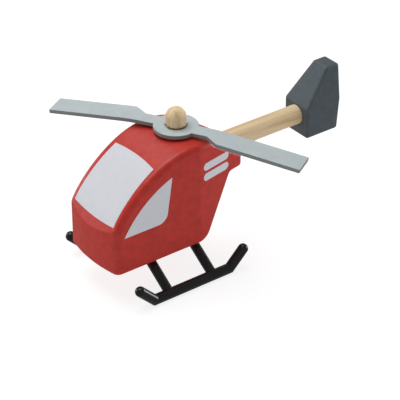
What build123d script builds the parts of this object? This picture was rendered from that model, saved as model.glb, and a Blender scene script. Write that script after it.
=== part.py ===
from build123d import *
import os
from math import cos, radians, sin, tan

# Toy helicopter, millimetres. +X points to the nose, +Y to the left side, +Z up.
# The origin is on the ground, under the middle of the whole toy.

UPWARD = (Align.CENTER, Align.CENTER, Align.MIN)
FORWARD = (Align.MIN, Align.CENTER, Align.MIN)
SIDES = {"left": 1, "right": -1}

# ---- driving dimensions: fuselage block ----
HALF_WIDTH = 23.5        # parallel sides, ahead of the crease
NOSE_X = 88.4            # foremost point of the nose, on the centre line
NOSE_BULGE = 3.0         # how far the nose bows forward of its corners
CREASE_X = 27.4          # where the sides start to taper towards the tail
TAPER = 0.2              # side taper per millimetre of length, behind the crease
STUB_X = -7.9            # end face of the tail stub
STUB_HALF = HALF_WIDTH - TAPER * (CREASE_X - STUB_X)
STUB_UNDER_Z = 54.9      # underside of the tail stub
BELLY_Z = 18.4
REAR_LOW_X = 21.2        # slanted rear face, at the belly
REAR_HIGH_X = 2.3        # slanted rear face, at the tail stub
ROOF_START = (7.67, 76.75)   # x, z where the sloping roof starts to curve
ROOF_RISE_DEG = 34.0         # slope of the roof over the tail stub
ROOF_ARCS = (                # radius and turn of each arc, from the roof down to the nose
    (36.0, 21.0),
    (50.0, 42.0),
    (84.0, 23.0),
    (40.0, 8.0),
)
REAR_LOW_RADIUS = 9.0
REAR_HIGH_RADIUS = 3.0
NOSE_CORNER_RADIUS = 4.5
CREASE_RADIUS = 12.0
STUB_CORNER_RADIUS = 3.0
ROOF_EDGE_RADIUS = 3.5
BELLY_EDGE_RADIUS = 2.2
SHOULDER_RADIUS = 8.0        # rounder upper corners of the block, over the tail stub
SHOULDER_SPREAD = 0.22       # how fast they run out of the sides, per millimetre of length
SHOULDER_MARGIN = 0.1        # how far they stay outside the flat sides and roof
OVERRUN = 5.0                # how far an outline or a cutter runs past what it trims

# ---- painted windows and stripes, let into the surface of the block ----
PAINT_DEPTH = 0.4
SCREEN_TOP_X = 56.2
SCREEN_TOP_HALF = 18.35
SCREEN_TOP_BOW = 1.3
SCREEN_BOTTOM_X = 84.6
SCREEN_BOTTOM_HALF = 19.2
SCREEN_BOTTOM_BOW = 0.7
WINDOW_TOP = (47.0, 70.3)            # x, z of the corners of a side window
WINDOW_FRONT = (80.2, 42.4)
WINDOW_REAR = (51.2, 42.4)
WINDOW_FRONT_BOW = (66.0, 59.2)      # on the curved front edge
WINDOW_CORNER_RADIUS = 6.5
STRIPE_LENGTH = 20.6
STRIPE_HEIGHT = 4.9
STRIPE_X = 14.3
STRIPE_ZS = {"upper": 67.85, "lower": 61.15}

# ---- rotor, pin and washer ----
ROTOR_X = 27.2
ROTOR_TOP_Z = 86.67
ROTOR_THICKNESS = 2.5
ROTOR_HALF_LENGTH = 78.9             # measured along the bent blade
ROTOR_HEADING_DEG = 120.5            # heading of the first blade, from +X
HUB_RADIUS = 13.15
BLADE_STRAIGHT_EDGE = 3.6            # offsets of the blade's edges from its axis
BLADE_WIDE_EDGE = 11.26
NECK_EDGE = 5.53
NECK_END = 21.1
SHOULDER_END = 29.0
NECK_CORNER_RADIUS = 1.5
BEND_START = 20.3
BEND_RADIUS = 134.0
DROOP_DEG = 6.0
ROTOR_EDGE_RADIUS = 0.35
PIN_RADIUS = 3.0
PIN_RUNNING_CLEARANCE = 0.08
PIN_DEPTH = 20.0                     # stem length inside the block
KNOB_RADIUS = 6.1
KNOB_NECK_RADIUS = 4.4
KNOB_FREE_PLAY = 0.3                 # gap between the knob's neck and the floor of the recess
KNOB_NECK_TOP = 0.1                  # heights above the rotor's top face
KNOB_SIDE_START = 1.4
KNOB_SIDE_END = 5.15
RECESS_RADIUS = 6.5                  # shallow recess in the hub, round the knob's neck
RECESS_DEPTH = 1.5
SEAT_Z = 82.2                        # flat seat in the roof, under the washer
SEAT_RADIUS = 6.5
WASHER_RADIUS = 6.0
WASHER_GAP = 0.1

# ---- tail boom and fin ----
BOOM_RADIUS = 6.0
BOOM_Z = 63.6
BOOM_FRONT_X = 16.0
BOOM_REAR_X = -76.0
BOOM_END_CHAMFER = 0.8
FIN_FRONT_X = -61.3
FIN_BOTTOM_Z = 50.8
FIN_SHOULDER_Z = 71.0
FIN_TOP_Z = 92.0
FIN_HALF_WIDTH = 10.8
FIN_TOP_HALF_WIDTH = 6.3
FIN_TOP_FRONT_X = -78.9
FIN_REAR_TOP_X = -88.55
FIN_REAR_BOTTOM_X = -85.2
FIN_EDGE_RADIUS = 1.7

# ---- landing gear: one moulding for each side, a skid tube with two legs ----
SKID_RADIUS = 3.1
SKID_Y = 35.35
SOLE_DEPTH = 0.15                    # depth of the flat sole that the skid stands on
SKID_Z = SKID_RADIUS - SOLE_DEPTH    # height of the skid's axis
SKID_FRONT_BEND_X = 68.65
SKID_REAR_BEND_X = 15.47
SKID_FRONT_TIP_X = 78.4
SKID_REAR_TIP_X = 5.6
SKID_TIP_Z = 12.6
LEG_RADIUS = 2.9
LEG_XS = (58.0, 27.3)
LEG_LEAN = 1.555                     # inward run of a leg for each millimetre of rise
PEG_RADIUS = 2.5
PEG_DEPTH = 8.0                      # peg length past the belly, along the leg
PEG_HOLE_EXTRA = 0.5


# ---- helpers ----
def extrude_sideways(outline, half):
    """Extrude an (x, z) outline to both sides of the centre plane."""
    return extrude(Plane.XZ * outline, amount=half, both=True)


def rod(start, end, radius):
    """A round bar from one point to another."""
    along = Vector(*end) - Vector(*start)
    return Plane(origin=start, z_dir=along) * Cylinder(radius, along.length, align=UPWARD)


def round_corner(face, corner, radius):
    """Round the corner of a flat face that is nearest to a point."""
    return fillet(face.vertices().sort_by_distance(corner)[0], radius)


# ---- fuselage ----
def stub_roof_z(x):
    """Height of the straight part of the roof, over the tail stub."""
    start_x, start_z = ROOF_START
    return start_z - (start_x - x) * tan(radians(ROOF_RISE_DEG))


def side_outline():
    """The block in (x, z): roof, windscreen, nose, belly, slanted rear, underside of the stub."""
    rear_x = STUB_X - OVERRUN
    front_x = NOSE_X + OVERRUN
    roof_rear = (rear_x, stub_roof_z(rear_x))
    edges = [Line(roof_rear, ROOF_START)]
    heading = ROOF_RISE_DEG
    for radius, turn in ROOF_ARCS:
        tangent = (cos(radians(heading)), sin(radians(heading)))
        edges.append(JernArc(edges[-1] @ 1, tangent, radius, -turn))
        heading -= turn
    brow = edges[-1] @ 1
    nose_top = (front_x, brow.Y + (front_x - brow.X) * tan(radians(heading)))
    edges.append(Polyline(
        brow,
        nose_top,
        (front_x, BELLY_Z),
        (REAR_LOW_X, BELLY_Z),
        (REAR_HIGH_X, STUB_UNDER_Z),
        (rear_x, STUB_UNDER_Z),
        roof_rear,
    ))
    face = round_corner(make_face(edges), (REAR_LOW_X, BELLY_Z), REAR_LOW_RADIUS)
    return round_corner(face, (REAR_HIGH_X, STUB_UNDER_Z), REAR_HIGH_RADIUS)


def plan_outline():
    """The block in (x, y): bowed nose, parallel sides, sides that taper back to the tail stub."""
    corner_x = NOSE_X - NOSE_BULGE
    nose = ThreePointArc((corner_x, -HALF_WIDTH), (NOSE_X, 0), (corner_x, HALF_WIDTH))
    sides = Polyline(
        (corner_x, HALF_WIDTH),
        (CREASE_X, HALF_WIDTH),
        (STUB_X, STUB_HALF),
        (STUB_X, -STUB_HALF),
        (CREASE_X, -HALF_WIDTH),
        (corner_x, -HALF_WIDTH),
    )
    face = make_face([nose, sides])
    for side in SIDES.values():
        face = round_corner(face, (corner_x, side * HALF_WIDTH), NOSE_CORNER_RADIUS)
        face = round_corner(face, (CREASE_X, side * HALF_WIDTH), CREASE_RADIUS)
        face = round_corner(face, (STUB_X, side * STUB_HALF), STUB_CORNER_RADIUS)
    return face


def rim_edges(block):
    """The edges where the faces of the side outline meet the walls of the plan outline."""
    seams = [e for e in block.edges().filter_by(Axis.Y) if e.center().X > STUB_X + 0.01]
    upright = block.edges().filter_by(Axis.Z)
    return [e for e in block.edges() if e not in seams and e not in upright]


def is_on_roof(edge):
    """True on the rim of the roof, windscreen and brow."""
    middle = edge.center()
    return middle.Z > STUB_UNDER_Z + 1 or (middle.X > CREASE_X and middle.Z > BELLY_Z + 1)


def is_on_underside(edge):
    """True on the rim of the belly, slanted rear and underside of the tail stub."""
    middle = edge.center()
    return middle.Z < BELLY_Z + 0.01 or (middle.X < CREASE_X and middle.Z < STUB_UNDER_Z + 0.01)


def shoulder_section(x):
    """Cross-section that the block's upper corners stay inside, at a place along the tail."""
    half = STUB_HALF + SHOULDER_MARGIN + SHOULDER_SPREAD * (x - STUB_X)
    top = stub_roof_z(x) + SHOULDER_MARGIN
    face = make_face(Polyline((-half, 0), (half, 0), (half, top), (-half, top), close=True))
    for corner in ((half, top), (-half, top)):
        face = round_corner(face, corner, SHOULDER_RADIUS)
    return Plane(origin=(x, 0, 0), x_dir=(0, 1, 0), z_dir=(1, 0, 0)) * face


def shoulder_trim():
    """What is sanded off the block's upper corners, from the crease back to the tail."""
    rear_x = STUB_X - OVERRUN
    kept = loft([shoulder_section(rear_x), shoulder_section(CREASE_X)])
    length = CREASE_X - rear_x
    around = Pos(rear_x, 0, 0) * Box(length, HALF_WIDTH * 4, ROTOR_TOP_Z * 2, align=FORWARD)
    return around - kept


def plain_block():
    """The block with its rounded edges, before anything is drilled or painted."""
    block = extrude_sideways(side_outline(), HALF_WIDTH + OVERRUN)
    block = block & extrude(plan_outline(), amount=ROTOR_TOP_Z)
    block = fillet([e for e in rim_edges(block) if is_on_roof(e)], ROOF_EDGE_RADIUS)
    block = fillet([e for e in rim_edges(block) if is_on_underside(e)], BELLY_EDGE_RADIUS)
    return block - shoulder_trim()


def screen_area():
    """The windscreen's area as an upright prism, open at the depth of the paint."""
    outline = make_face([
        Line((SCREEN_BOTTOM_X, -SCREEN_BOTTOM_HALF), (SCREEN_TOP_X, -SCREEN_TOP_HALF)),
        ThreePointArc(
            (SCREEN_TOP_X, -SCREEN_TOP_HALF),
            (SCREEN_TOP_X - SCREEN_TOP_BOW, 0),
            (SCREEN_TOP_X, SCREEN_TOP_HALF),
        ),
        Line((SCREEN_TOP_X, SCREEN_TOP_HALF), (SCREEN_BOTTOM_X, SCREEN_BOTTOM_HALF)),
        ThreePointArc(
            (SCREEN_BOTTOM_X, SCREEN_BOTTOM_HALF),
            (SCREEN_BOTTOM_X + SCREEN_BOTTOM_BOW, 0),
            (SCREEN_BOTTOM_X, -SCREEN_BOTTOM_HALF),
        ),
    ])
    core = extrude_sideways(offset(side_outline(), -PAINT_DEPTH), HALF_WIDTH)
    return Pos(0, 0, BELLY_Z + OVERRUN) * extrude(outline, amount=ROTOR_TOP_Z) - core


def window_area(side):
    """A side window's area, from the depth of the paint outwards."""
    outline = make_face([
        ThreePointArc(WINDOW_TOP, WINDOW_FRONT_BOW, WINDOW_FRONT),
        Polyline(WINDOW_FRONT, WINDOW_REAR, WINDOW_TOP),
    ])
    outline = round_corner(outline, WINDOW_REAR, WINDOW_CORNER_RADIUS)
    slab = Pos(WINDOW_FRONT_BOW[0], side * (HALF_WIDTH + OVERRUN - PAINT_DEPTH), WINDOW_FRONT_BOW[1])
    return extrude_sideways(outline, HALF_WIDTH + OVERRUN) & slab * Box(
        HALF_WIDTH * 3, OVERRUN * 2, HALF_WIDTH * 3)


def stripe_area(side, z):
    """A stripe's area on the tapered side, from the depth of the paint outwards."""
    outline = Pos(STRIPE_X, z) * SlotOverall(STRIPE_LENGTH, STRIPE_HEIGHT)
    panel = Plane(
        origin=(CREASE_X, side * (HALF_WIDTH - PAINT_DEPTH), z),
        x_dir=(1, side * TAPER, 0),
        z_dir=(-TAPER, side, 0),
    )
    return extrude_sideways(outline, HALF_WIDTH + OVERRUN) & panel * Box(
        STUB_UNDER_Z * 2, STUB_UNDER_Z * 2, OVERRUN * 2, align=UPWARD)


def paint_layers(block):
    """The painted windows and stripes, each the outer skin of the block inside its area."""
    layers = {"windscreen": block & screen_area()}
    for name, side in SIDES.items():
        layers[f"side_window_{name}"] = block & window_area(side)
        for level, z in STRIPE_ZS.items():
            layers[f"{level}_stripe_{name}"] = block & stripe_area(side, z)
    return layers


def bores():
    """What is drilled out of the block: pin hole and seat, boom socket, sockets for the pegs."""
    tools = [
        Pos(ROTOR_X, 0, SEAT_Z) * Cylinder(SEAT_RADIUS, OVERRUN, align=UPWARD),
        Pos(ROTOR_X, 0, SEAT_Z - PIN_DEPTH) * Cylinder(PIN_RADIUS, PIN_DEPTH, align=UPWARD),
        rod((BOOM_FRONT_X, 0, BOOM_Z), (STUB_X - OVERRUN, 0, BOOM_Z), BOOM_RADIUS),
    ]
    for side in SIDES.values():
        for x in LEG_XS:
            mouth = leg_point(x, side, BELLY_Z - OVERRUN)
            tools.append(rod(mouth, peg_tip(x, side, PEG_DEPTH + PEG_HOLE_EXTRA), PEG_RADIUS))
    return tools


# ---- tail ----
def tail_boom():
    """Round dowel, glued into the block and the fin."""
    dowel = rod((BOOM_REAR_X, 0, BOOM_Z), (BOOM_FRONT_X, 0, BOOM_Z), BOOM_RADIUS)
    return chamfer(dowel.edges().filter_by(GeomType.CIRCLE), BOOM_END_CHAMFER)


def tail_fin():
    """Block with a front and sides that lean in above its shoulder, and a blind boom socket."""
    side = make_face(Polyline(
        (FIN_FRONT_X, FIN_BOTTOM_Z),
        (FIN_FRONT_X, FIN_SHOULDER_Z),
        (FIN_TOP_FRONT_X, FIN_TOP_Z),
        (FIN_REAR_TOP_X, FIN_TOP_Z),
        (FIN_REAR_BOTTOM_X, FIN_BOTTOM_Z),
        close=True,
    ))
    front = make_face(Polyline(
        (-FIN_HALF_WIDTH, FIN_BOTTOM_Z),
        (-FIN_HALF_WIDTH, FIN_SHOULDER_Z),
        (-FIN_TOP_HALF_WIDTH, FIN_TOP_Z),
        (FIN_TOP_HALF_WIDTH, FIN_TOP_Z),
        (FIN_HALF_WIDTH, FIN_SHOULDER_Z),
        (FIN_HALF_WIDTH, FIN_BOTTOM_Z),
        close=True,
    ))
    fin = extrude_sideways(side, FIN_HALF_WIDTH + OVERRUN)
    fin = fin & extrude(Plane.YZ * front, amount=2 * FIN_REAR_TOP_X)
    fin = fillet(fin.edges(), FIN_EDGE_RADIUS)
    return fin - rod((BOOM_REAR_X, 0, BOOM_Z), (FIN_FRONT_X + OVERRUN, 0, BOOM_Z), BOOM_RADIUS)


# ---- rotor, pin and washer ----
def blade_section(side):
    """Half of the rotor in (length, z): flat hub, gentle bend, drooping blade."""
    slope = radians(DROOP_DEG)
    straight = ROTOR_HALF_LENGTH - BEND_START - BEND_RADIUS * slope
    edges = []
    for depth in (0, ROTOR_THICKNESS):
        flat = Line((0, -depth), (side * BEND_START, -depth))
        bend = JernArc(flat @ 1, (side, 0), BEND_RADIUS - depth, -side * DROOP_DEG)
        blade = Line(bend @ 1, bend @ 1 + Vector(side * cos(slope), -sin(slope)) * straight)
        edges += [flat, bend, blade]
    tip = Line(edges[2] @ 1, edges[5] @ 1)
    root = Line((0, 0), (0, -ROTOR_THICKNESS))
    return make_face(edges + [tip, root])


def blade_outline():
    """One blade seen from above, along +X, with its neck and angled shoulder."""
    outer = ROTOR_HALF_LENGTH + OVERRUN
    face = make_face(Polyline(
        (0, BLADE_STRAIGHT_EDGE),
        (outer, BLADE_STRAIGHT_EDGE),
        (outer, -BLADE_WIDE_EDGE),
        (SHOULDER_END, -BLADE_WIDE_EDGE),
        (NECK_END, -NECK_EDGE),
        (0, -NECK_EDGE),
        close=True,
    ))
    face = round_corner(face, (SHOULDER_END, -BLADE_WIDE_EDGE), NECK_CORNER_RADIUS)
    return round_corner(face, (NECK_END, -NECK_EDGE), NECK_CORNER_RADIUS)


def rotor():
    """Two-blade rotor in one piece, bent down at each side of its round hub."""
    strip = extrude_sideways(blade_section(1) + blade_section(-1), HUB_RADIUS + OVERRUN)
    outline = blade_outline() + Rot(0, 0, 180) * blade_outline() + Circle(HUB_RADIUS)
    body = strip & Pos(0, 0, -HALF_WIDTH) * extrude(outline, amount=HALF_WIDTH * 2)
    rims = body.faces().filter_by(Axis.Z).sort_by(Axis.Z)
    body = fillet(rims[-1].edges() + rims[0].edges(), ROTOR_EDGE_RADIUS)
    body = body - Cylinder(PIN_RADIUS + PIN_RUNNING_CLEARANCE, OVERRUN * 2)
    body = body - Pos(0, 0, -RECESS_DEPTH) * Cylinder(RECESS_RADIUS, OVERRUN, align=UPWARD)
    return Pos(ROTOR_X, 0, ROTOR_TOP_Z) * Rot(0, 0, ROTOR_HEADING_DEG) * body


def rotor_pin():
    """Turned peg: a stem in the block and a domed knob, whose neck keeps the rotor on."""
    stem_end = SEAT_Z - PIN_DEPTH
    foot = ROTOR_TOP_Z - RECESS_DEPTH + KNOB_FREE_PLAY
    neck_top = ROTOR_TOP_Z + KNOB_NECK_TOP
    side_start = ROTOR_TOP_Z + KNOB_SIDE_START
    side_end = ROTOR_TOP_Z + KNOB_SIDE_END
    diagonal = cos(radians(45))
    bulge = (
        KNOB_NECK_RADIUS + (KNOB_RADIUS - KNOB_NECK_RADIUS) * diagonal,
        side_start - (side_start - neck_top) * diagonal,
    )
    dome_shoulder = (KNOB_RADIUS * diagonal, side_end + KNOB_RADIUS * diagonal)
    half = make_face([
        Polyline((0, stem_end), (PIN_RADIUS, stem_end), (PIN_RADIUS, foot), (KNOB_NECK_RADIUS, foot)),
        Line((KNOB_NECK_RADIUS, foot), (KNOB_NECK_RADIUS, neck_top)),
        ThreePointArc((KNOB_NECK_RADIUS, neck_top), bulge, (KNOB_RADIUS, side_start)),
        Line((KNOB_RADIUS, side_start), (KNOB_RADIUS, side_end)),
        ThreePointArc((KNOB_RADIUS, side_end), dome_shoulder, (0, side_end + KNOB_RADIUS)),
        Line((0, side_end + KNOB_RADIUS), (0, stem_end)),
    ])
    return Pos(ROTOR_X, 0, 0) * revolve(Plane.XZ * half, Axis.Z)


def rotor_washer():
    """Flat spacer on the pin that keeps the rotor off the roof."""
    height = ROTOR_TOP_Z - ROTOR_THICKNESS - WASHER_GAP - SEAT_Z
    ring = Cylinder(WASHER_RADIUS, height, align=UPWARD) - Cylinder(PIN_RADIUS, height, align=UPWARD)
    return Pos(ROTOR_X, 0, SEAT_Z) * ring


# ---- landing gear ----
def leg_point(x, side, z):
    """The point of a leg's axis at a height."""
    return (x, side * (SKID_Y - LEG_LEAN * (z - SKID_Z)), z)


def peg_tip(x, side, depth):
    """The point of a leg's axis at a distance past the belly."""
    rise = depth / (1 + LEG_LEAN ** 2) ** 0.5
    return leg_point(x, side, BELLY_Z + rise)


def skid_tube(side):
    """Round tube with upturned ends, mitred at the bends and rounded at the tips."""
    y = side * SKID_Y
    tips = ((SKID_FRONT_TIP_X, y, SKID_TIP_Z), (SKID_REAR_TIP_X, y, SKID_TIP_Z))
    path = Polyline(
        tips[0],
        (SKID_FRONT_BEND_X, y, SKID_Z),
        (SKID_REAR_BEND_X, y, SKID_Z),
        tips[1],
    )
    section = Plane(origin=path @ 0, z_dir=path % 0) * Circle(SKID_RADIUS)
    tube = sweep(section, path, transition=Transition.RIGHT)
    for tip in tips:
        tube = tube + Pos(*tip) * Sphere(SKID_RADIUS)
    return tube


def skid_frame(side):
    """One side of the landing gear: skid tube, two leaning legs and their pegs."""
    frame = skid_tube(side)
    below_belly = Pos(0, 0, BELLY_Z - OVERRUN * 10) * Box(
        NOSE_X * 2, NOSE_X * 2, OVERRUN * 10, align=UPWARD)
    for x in LEG_XS:
        leg = rod(leg_point(x, side, SKID_Z), leg_point(x, side, BELLY_Z + OVERRUN), LEG_RADIUS)
        peg = rod(leg_point(x, side, BELLY_Z - OVERRUN), peg_tip(x, side, PEG_DEPTH), PEG_RADIUS)
        frame = frame + (leg & below_belly) + peg
    ground = Box(NOSE_X * 2, NOSE_X * 2, OVERRUN, align=(Align.CENTER, Align.CENTER, Align.MAX))
    return frame - ground


# ---- the whole toy ----
def toy():
    """Every piece by name."""
    block = plain_block()
    pieces = paint_layers(block)
    for cutter in bores() + list(pieces.values()):
        block = block - cutter
    pieces["fuselage"] = block
    pieces["tail_boom"] = tail_boom()
    pieces["tail_fin"] = tail_fin()
    pieces["rotor"] = rotor()
    pieces["rotor_pin"] = rotor_pin()
    pieces["rotor_washer"] = rotor_washer()
    for name, side in SIDES.items():
        pieces[f"skid_frame_{name}"] = skid_frame(side)
    return pieces


os.makedirs("parts", exist_ok=True)
for name, shape in toy().items():
    export_step(shape, f"parts/{name}.step")
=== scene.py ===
import bpy
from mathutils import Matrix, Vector


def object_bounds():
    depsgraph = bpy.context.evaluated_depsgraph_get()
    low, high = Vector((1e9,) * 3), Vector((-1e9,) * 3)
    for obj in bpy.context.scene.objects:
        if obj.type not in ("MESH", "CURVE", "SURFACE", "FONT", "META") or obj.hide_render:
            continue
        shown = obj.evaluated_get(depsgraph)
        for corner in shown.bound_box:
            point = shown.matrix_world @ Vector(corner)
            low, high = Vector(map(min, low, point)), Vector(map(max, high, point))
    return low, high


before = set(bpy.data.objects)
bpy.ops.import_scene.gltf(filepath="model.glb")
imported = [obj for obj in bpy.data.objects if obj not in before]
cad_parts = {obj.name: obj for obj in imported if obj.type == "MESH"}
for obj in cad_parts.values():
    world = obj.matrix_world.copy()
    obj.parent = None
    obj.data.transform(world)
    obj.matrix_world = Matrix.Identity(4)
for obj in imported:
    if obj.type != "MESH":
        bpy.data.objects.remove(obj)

# Wooden toy helicopter: every piece is a CAD node, and this script gives each one its finish.
# Metres. +X points to the nose, +Y to the left side, +Z up.

CAD_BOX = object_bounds()

# ---- colours, linear ----
RED = (0.54, 0.030, 0.019)
RED_DEEP = (0.42, 0.024, 0.016)
WINDOW_GREY = (0.63, 0.64, 0.68)
WINDOW_SHADE = (0.61, 0.62, 0.66)
WOOD_PALE = (0.82, 0.655, 0.41)
WOOD_BROWN = (0.49, 0.29, 0.125)
WOOD_PORE = (0.40, 0.24, 0.12)
SLATE = (0.078, 0.098, 0.109)
SLATE_DARK = (0.062, 0.080, 0.091)
ROTOR_GREY = (0.465, 0.52, 0.53)
ROTOR_SHADE = (0.425, 0.475, 0.485)
# painted shade: the darker grey given to the rotor's upright edges
ROTOR_EDGE_SHADE = (0.20, 0.22, 0.225)
BLACK = (0.010, 0.010, 0.011)
BLACK_DUSTY = (0.022, 0.022, 0.024)
NYLON = (0.012, 0.012, 0.013)
FLOOR_WHITE = (0.25, 0.25, 0.25)
WHITE = (1.0, 1.0, 1.0)

# ---- camera, floor and lights ----
CAMERA_PLACE = Vector((0.548976, 0.719527, 0.595724))
CAMERA_TARGET = Vector((0.001192, -0.012075, 0.020317))
CAMERA_LENS = 162.8          # millimetres
CAMERA_SENSOR = 36.0         # millimetres
FLOOR_HALF = 3.0
FLOOR_GLOW = 0.82            # light of its own, which keeps the floor pale under the toy
SKY_STRENGTH = 0.30
LIGHTS_AIM = (0.0, 0.0, 0.05)
LIGHTS = {                   # place, width in metres, power in watts
    "overhead": ((0.12, -0.38, 1.18), 0.9, 11.4),
    "nose_side": ((0.60, -1.10, 0.20), 0.7, 5.0),
    "tail_side": ((-1.30, 0.22, 0.12), 0.7, 10.0),
    "fill": ((0.30, 1.25, 0.60), 0.8, 0.4),
}

# ---- grain of the bare wood, in cycles a metre ----
GRAIN_ACROSS = {"streaks": 1500.0, "bands": 260.0, "pores": 2600.0}
GRAIN_ALONG = {"streaks": 45.0, "bands": 14.0, "pores": 220.0}

COAT_ROUGHNESS = 0.12


# ---- node helpers ----
class Finish:
    """A principled material that is built up node by node."""

    def __init__(self, name, roughness, specular=0.5, coat=0.0):
        self.material = bpy.data.materials.new(name)
        self.material.use_nodes = True
        self.tree = self.material.node_tree
        self.shader = self.tree.nodes["Principled BSDF"]
        self.shader.inputs["Roughness"].default_value = roughness
        self.shader.inputs["Specular IOR Level"].default_value = specular
        self.shader.inputs["Coat Weight"].default_value = coat
        self.shader.inputs["Coat Roughness"].default_value = COAT_ROUGHNESS
        self.place = self.tree.nodes.new("ShaderNodeTexCoord").outputs["Object"]
        self.height = None

    def node(self, kind, **values):
        """A new node, with values for its inputs by name."""
        made = self.tree.nodes.new(kind)
        for name, value in values.items():
            made.inputs[name.replace("_", " ")].default_value = value
        return made

    def link(self, output, target):
        self.tree.links.new(output, target)

    def stretched(self, scale):
        """The piece's own coordinates, scaled along each axis."""
        mapping = self.node("ShaderNodeMapping", Scale=scale)
        self.link(self.place, mapping.inputs["Vector"])
        return mapping.outputs["Vector"]

    def noise(self, scale, detail=4.0, roughness=0.55, distortion=0.0):
        """Noise from 0 to 1. The scale is in cycles a metre, one number or one for each axis."""
        axes = (scale,) * 3 if isinstance(scale, (int, float)) else scale
        made = self.node("ShaderNodeTexNoise", Scale=1.0, Detail=detail, Roughness=roughness,
                         Distortion=distortion)
        self.link(self.stretched(axes), made.inputs["Vector"])
        return made.outputs["Fac"]

    def levels(self, value, low, high, to_low=0.0, to_high=1.0):
        """The value, spread from one range to another and clamped."""
        made = self.node("ShaderNodeMapRange", From_Min=low, From_Max=high,
                         To_Min=to_low, To_Max=to_high)
        self.link(value, made.inputs["Value"])
        return made.outputs["Result"]

    def mixed(self, factor, first, second):
        """A blend of two colours. Each is a colour or another node's output."""
        made = self.tree.nodes.new("ShaderNodeMix")
        made.data_type = "RGBA"
        self.link(factor, made.inputs["Factor"])
        for name, colour in (("A", first), ("B", second)):
            socket = next(s for s in made.inputs if s.name == name and s.type == "RGBA")
            if isinstance(colour, tuple):
                socket.default_value = (*colour, 1.0)
            else:
                self.link(colour, socket)
        return next(s for s in made.outputs if s.type == "RGBA")

    def colour(self, output):
        self.link(output, self.shader.inputs["Base Color"])

    def gloss(self, output):
        self.link(output, self.shader.inputs["Roughness"])

    def relief(self, value, depth):
        """Adds a bump of this depth in metres."""
        bump = self.node("ShaderNodeBump", Strength=1.0, Distance=depth)
        self.link(value, bump.inputs["Height"])
        if self.height is not None:
            self.link(self.height, bump.inputs["Normal"])
        self.height = bump.outputs["Normal"]
        self.link(self.height, self.shader.inputs["Normal"])


def painted_wood(name, colour, shade, roughness=0.36):
    """Satin paint over a sanded block: faint mottle, with the grain just telling through."""
    paint = Finish(name, roughness, specular=0.32)
    mottle = paint.levels(paint.noise(240, detail=6, roughness=0.6), 0.35, 0.68)
    grain = paint.levels(paint.noise((60, 1300, 1300), detail=5, roughness=0.65), 0.42, 0.74)
    blended = paint.mixed(mottle, colour, shade)
    streaked = paint.mixed(paint.levels(grain, 0.0, 1.0, 0.0, 0.30), blended, shade)
    paint.colour(streaked)
    fine = paint.noise(420, detail=5)
    paint.gloss(paint.levels(fine, 0.3, 0.7, roughness - 0.05, roughness + 0.08))
    paint.relief(grain, 0.00003)
    paint.relief(paint.noise(900, detail=3), 0.000012)
    return paint.material


def grain_scale(kind, along):
    """Noise scale for each axis, drawn out along the grain."""
    scale = [GRAIN_ACROSS[kind]] * 3
    scale[along] = GRAIN_ALONG[kind]
    return tuple(scale)


def bare_wood(name, along):
    """Sanded pale hardwood. along is the number of the axis that the grain follows."""
    wood = Finish(name, 0.5)
    streaks = wood.levels(wood.noise(grain_scale("streaks", along), detail=6, roughness=0.62), 0.36, 0.70)
    rings = wood.levels(wood.noise(grain_scale("bands", along), detail=3, distortion=0.4), 0.36, 0.66)
    pits = wood.levels(wood.noise(grain_scale("pores", along), detail=2), 0.66, 0.76)
    grown = wood.mixed(rings, WOOD_PALE, WOOD_BROWN)
    soft = wood.mixed(wood.levels(rings, 0.0, 1.0, 0.0, 0.55), WOOD_PALE, grown)
    grained = wood.mixed(wood.levels(streaks, 0.0, 1.0, 0.0, 0.50), soft, WOOD_BROWN)
    wood.colour(wood.mixed(wood.levels(pits, 0.0, 1.0, 0.0, 0.55), grained, WOOD_PORE))
    wood.gloss(wood.levels(streaks, 0.0, 1.0, 0.46, 0.62))
    wood.relief(streaks, 0.00005)
    wood.relief(pits, -0.00004)
    return wood.material


def satin_plastic(name, colour, shade, edge_shade, roughness):
    """Moulded plastic with a fine texture and faint flow marks; its upright edges get a painted shade,
    darker than the flat faces.
    """
    plastic = Finish(name, roughness)
    flow = plastic.levels(plastic.noise(130, detail=5, distortion=0.6), 0.34, 0.68)
    # Painted shade: faces that stand upright, found from the normal, take the shade colour instead of the
    # plastic's own.
    geometry = plastic.node("ShaderNodeNewGeometry")
    normal = plastic.node("ShaderNodeSeparateXYZ")
    plastic.link(geometry.outputs["True Normal"], normal.inputs["Vector"])
    tilt = plastic.node("ShaderNodeMath")
    tilt.operation = "ABSOLUTE"
    plastic.link(normal.outputs["Z"], tilt.inputs[0])
    unshaded_mask = plastic.levels(tilt.outputs["Value"], 0.45, 0.85)
    plastic.colour(plastic.mixed(unshaded_mask, edge_shade, plastic.mixed(flow, colour, shade)))
    fine = plastic.noise(700, detail=4)
    plastic.gloss(plastic.levels(fine, 0.3, 0.7, roughness - 0.06, roughness + 0.08))
    plastic.relief(plastic.noise(3200, detail=2), 0.00002)
    return plastic.material


def glossy_plastic(name):
    """Glossy black moulding, with faint scuffs along the tubes."""
    plastic = Finish(name, 0.2, specular=0.3, coat=0.08)
    scuffs = plastic.levels(plastic.noise((90, 1900, 1900), detail=4), 0.52, 0.78)
    plastic.colour(plastic.mixed(plastic.levels(scuffs, 0.0, 1.0, 0.0, 0.6), BLACK, BLACK_DUSTY))
    plastic.gloss(plastic.levels(scuffs, 0.0, 1.0, 0.20, 0.38))
    plastic.relief(plastic.noise(240, detail=2), 0.000012)
    return plastic.material


def give(material, *nodes):
    """Puts one material on CAD nodes."""
    for name in nodes:
        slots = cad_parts[name].material_slots
        for slot in slots:
            slot.material = material
        if not slots:
            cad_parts[name].data.materials.append(material)


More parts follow.
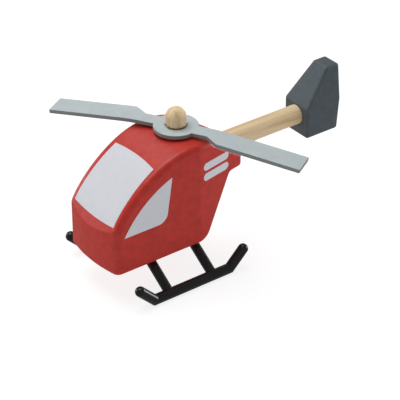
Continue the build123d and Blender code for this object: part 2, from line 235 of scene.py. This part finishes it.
def finishes():
    """The finish of every CAD node."""
    stripes = [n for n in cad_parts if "_stripe_" in n]
    windows = [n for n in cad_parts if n.startswith("side_window")]
    give(painted_wood("red_paint", RED, RED_DEEP), "fuselage")
    pale_paint = painted_wood("window_paint", WINDOW_GREY, WINDOW_SHADE, 0.42)
    give(pale_paint, "windscreen", *windows, *stripes)
    give(painted_wood("slate_paint", SLATE, SLATE_DARK, 0.44), "tail_fin")
    give(bare_wood("wood_along_boom", 0), "tail_boom")
    give(bare_wood("wood_along_pin", 2), "rotor_pin")
    give(satin_plastic("grey_plastic", ROTOR_GREY, ROTOR_SHADE, ROTOR_EDGE_SHADE, 0.42), "rotor")
    give(satin_plastic("black_nylon", NYLON, BLACK_DUSTY, NYLON, 0.55), "rotor_washer")
    give(glossy_plastic("black_plastic"), "skid_frame_left", "skid_frame_right")


# ---- surroundings ----
def floor():
    """A plain pale floor that the skids stand on. Reflections on the toy leave it out."""
    mesh = bpy.data.meshes.new("floor")
    half = FLOOR_HALF
    corners = [(-half, -half, 0), (half, -half, 0), (half, half, 0), (-half, half, 0)]
    mesh.from_pydata(corners, [], [(0, 1, 2, 3)])
    plane = bpy.data.objects.new("floor", mesh)
    plane.location.z = CAD_BOX[0].z
    bpy.context.scene.collection.objects.link(plane)
    pale = bpy.data.materials.new("floor_paint")
    pale.use_nodes = True
    shader = pale.node_tree.nodes["Principled BSDF"]
    shader.inputs["Base Color"].default_value = (*FLOOR_WHITE, 1.0)
    shader.inputs["Roughness"].default_value = 0.9
    shader.inputs["Specular IOR Level"].default_value = 0.1
    shader.inputs["Emission Color"].default_value = (*WHITE, 1.0)
    shader.inputs["Emission Strength"].default_value = FLOOR_GLOW
    mesh.materials.append(pale)
    plane.visible_glossy = False


def area_light(name, place, size, power):
    """A soft square light that faces the toy."""
    lamp = bpy.data.lights.new(name, "AREA")
    lamp.shape = "SQUARE"
    lamp.size = size
    lamp.energy = power
    light = bpy.data.objects.new(name, lamp)
    light.location = place
    light.rotation_mode = "QUATERNION"
    light.rotation_quaternion = (Vector(LIGHTS_AIM) - Vector(place)).to_track_quat("-Z", "Y")
    bpy.context.scene.collection.objects.link(light)


def studio():
    """A dim even sky, a large soft light overhead and weaker ones round the toy."""
    world = bpy.data.worlds.new("studio")
    bpy.context.scene.world = world
    world.use_nodes = True
    sky = world.node_tree.nodes["Background"]
    sky.inputs["Color"].default_value = (*WHITE, 1.0)
    sky.inputs["Strength"].default_value = SKY_STRENGTH
    for name, (place, size, power) in LIGHTS.items():
        area_light(name, place, size, power)


def camera():
    """The camera, at the distance and angle of a product photograph."""
    lens = bpy.data.cameras.new("camera")
    lens.lens = CAMERA_LENS
    lens.sensor_width = CAMERA_SENSOR
    lens.clip_start = 0.05
    lens.clip_end = 20.0
    view = bpy.data.objects.new("camera", lens)
    view.location = CAMERA_PLACE
    view.rotation_mode = "QUATERNION"
    view.rotation_quaternion = (CAMERA_TARGET - CAMERA_PLACE).to_track_quat("-Z", "Y")
    bpy.context.scene.collection.objects.link(view)
    bpy.context.scene.camera = view


finishes()
floor()
studio()
camera()
bpy.context.scene.view_settings.view_transform = "Standard"
